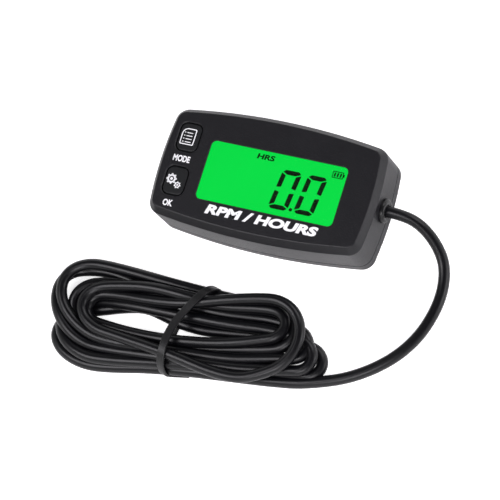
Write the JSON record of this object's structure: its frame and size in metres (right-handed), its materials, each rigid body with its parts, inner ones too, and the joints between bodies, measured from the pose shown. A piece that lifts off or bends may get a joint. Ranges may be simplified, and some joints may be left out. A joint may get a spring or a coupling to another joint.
{
  "type": "tachometer hour meter",
  "caption": "Flat barrel-sided tachometer hour meter lying face up, with a backlit display, two sprung push buttons and a black pickup lead coiled in a tied hank.",
  "frame": {"origin": "centre of the housing's back, on the surface that the meter lies on", "axes": "+X along the housing to the side that the lead leaves, +Y to the face's top edge, +Z out of the face"},
  "size_m": [0.1374, 0.0962, 0.0198],
  "materials": {
    "housing": "fine satin texture, near-black",
    "button_rubber": "satin near-black",
    "window": "clear gloss plate",
    "lcd": "bright green backlit display",
    "frame_plastic": "satin black",
    "guide": "clear plastic",
    "led": "clear lamp",
    "board": "green solder mask",
    "chip": "moulded black",
    "cell": "bright steel",
    "contact_metal": "spring steel",
    "screw_steel": "zinc-plated steel",
    "seal_rubber": "soft black rubber",
    "foam": "soft foam",
    "grommet": "glossy black rubber",
    "lead": "satin black jacket",
    "copper": "tinned copper",
    "tie": "satin black band"
  },
  "bodies": {
    "housing": {"front_housing": "housing", "rear_cover": "housing", "housing_seal": "seal_rubber", "cover_screws": "screw_steel", "board_screws": "screw_steel", "display_window": "window", "lcd_panel": "lcd", "lcd_frame": "frame_plastic", "zebra_strip_top": "seal_rubber", "zebra_strip_bottom": "seal_rubber", "light_guide": "guide", "backlight_led_left": "led", "backlight_led_right": "led", "circuit_board": "board", "battery_cell": "cell", "battery_holder": "frame_plastic", "battery_contact": "contact_metal", "battery_clip": "contact_metal", "battery_pad": "foam", "controller_chip": "chip", "crystal": "cell", "menu_switch": "frame_plastic", "set_switch": "frame_plastic", "lead_grommet": "grommet", "inner_lead": "lead", "lead_core": "copper", "strain_tie": "tie", "lead_run": "lead", "lead_hank": "lead", "hank_tie": "tie"},
    "menu_button": {"menu_button": "button_rubber", "menu_switch_plunger": "frame_plastic"},
    "set_button": {"set_button": "button_rubber", "set_switch_plunger": "frame_plastic"}
  },
  "joints": [
    {"name": "menu_press", "type": "slide", "parent": "housing", "child": "menu_button", "axis": [0, 0, -1], "range_m": [0, 0.0005], "stiffness_N_per_m": 500},
    {"name": "set_press", "type": "slide", "parent": "housing", "child": "set_button", "axis": [0, 0, -1], "range_m": [0, 0.0005], "stiffness_N_per_m": 500}
  ]
}
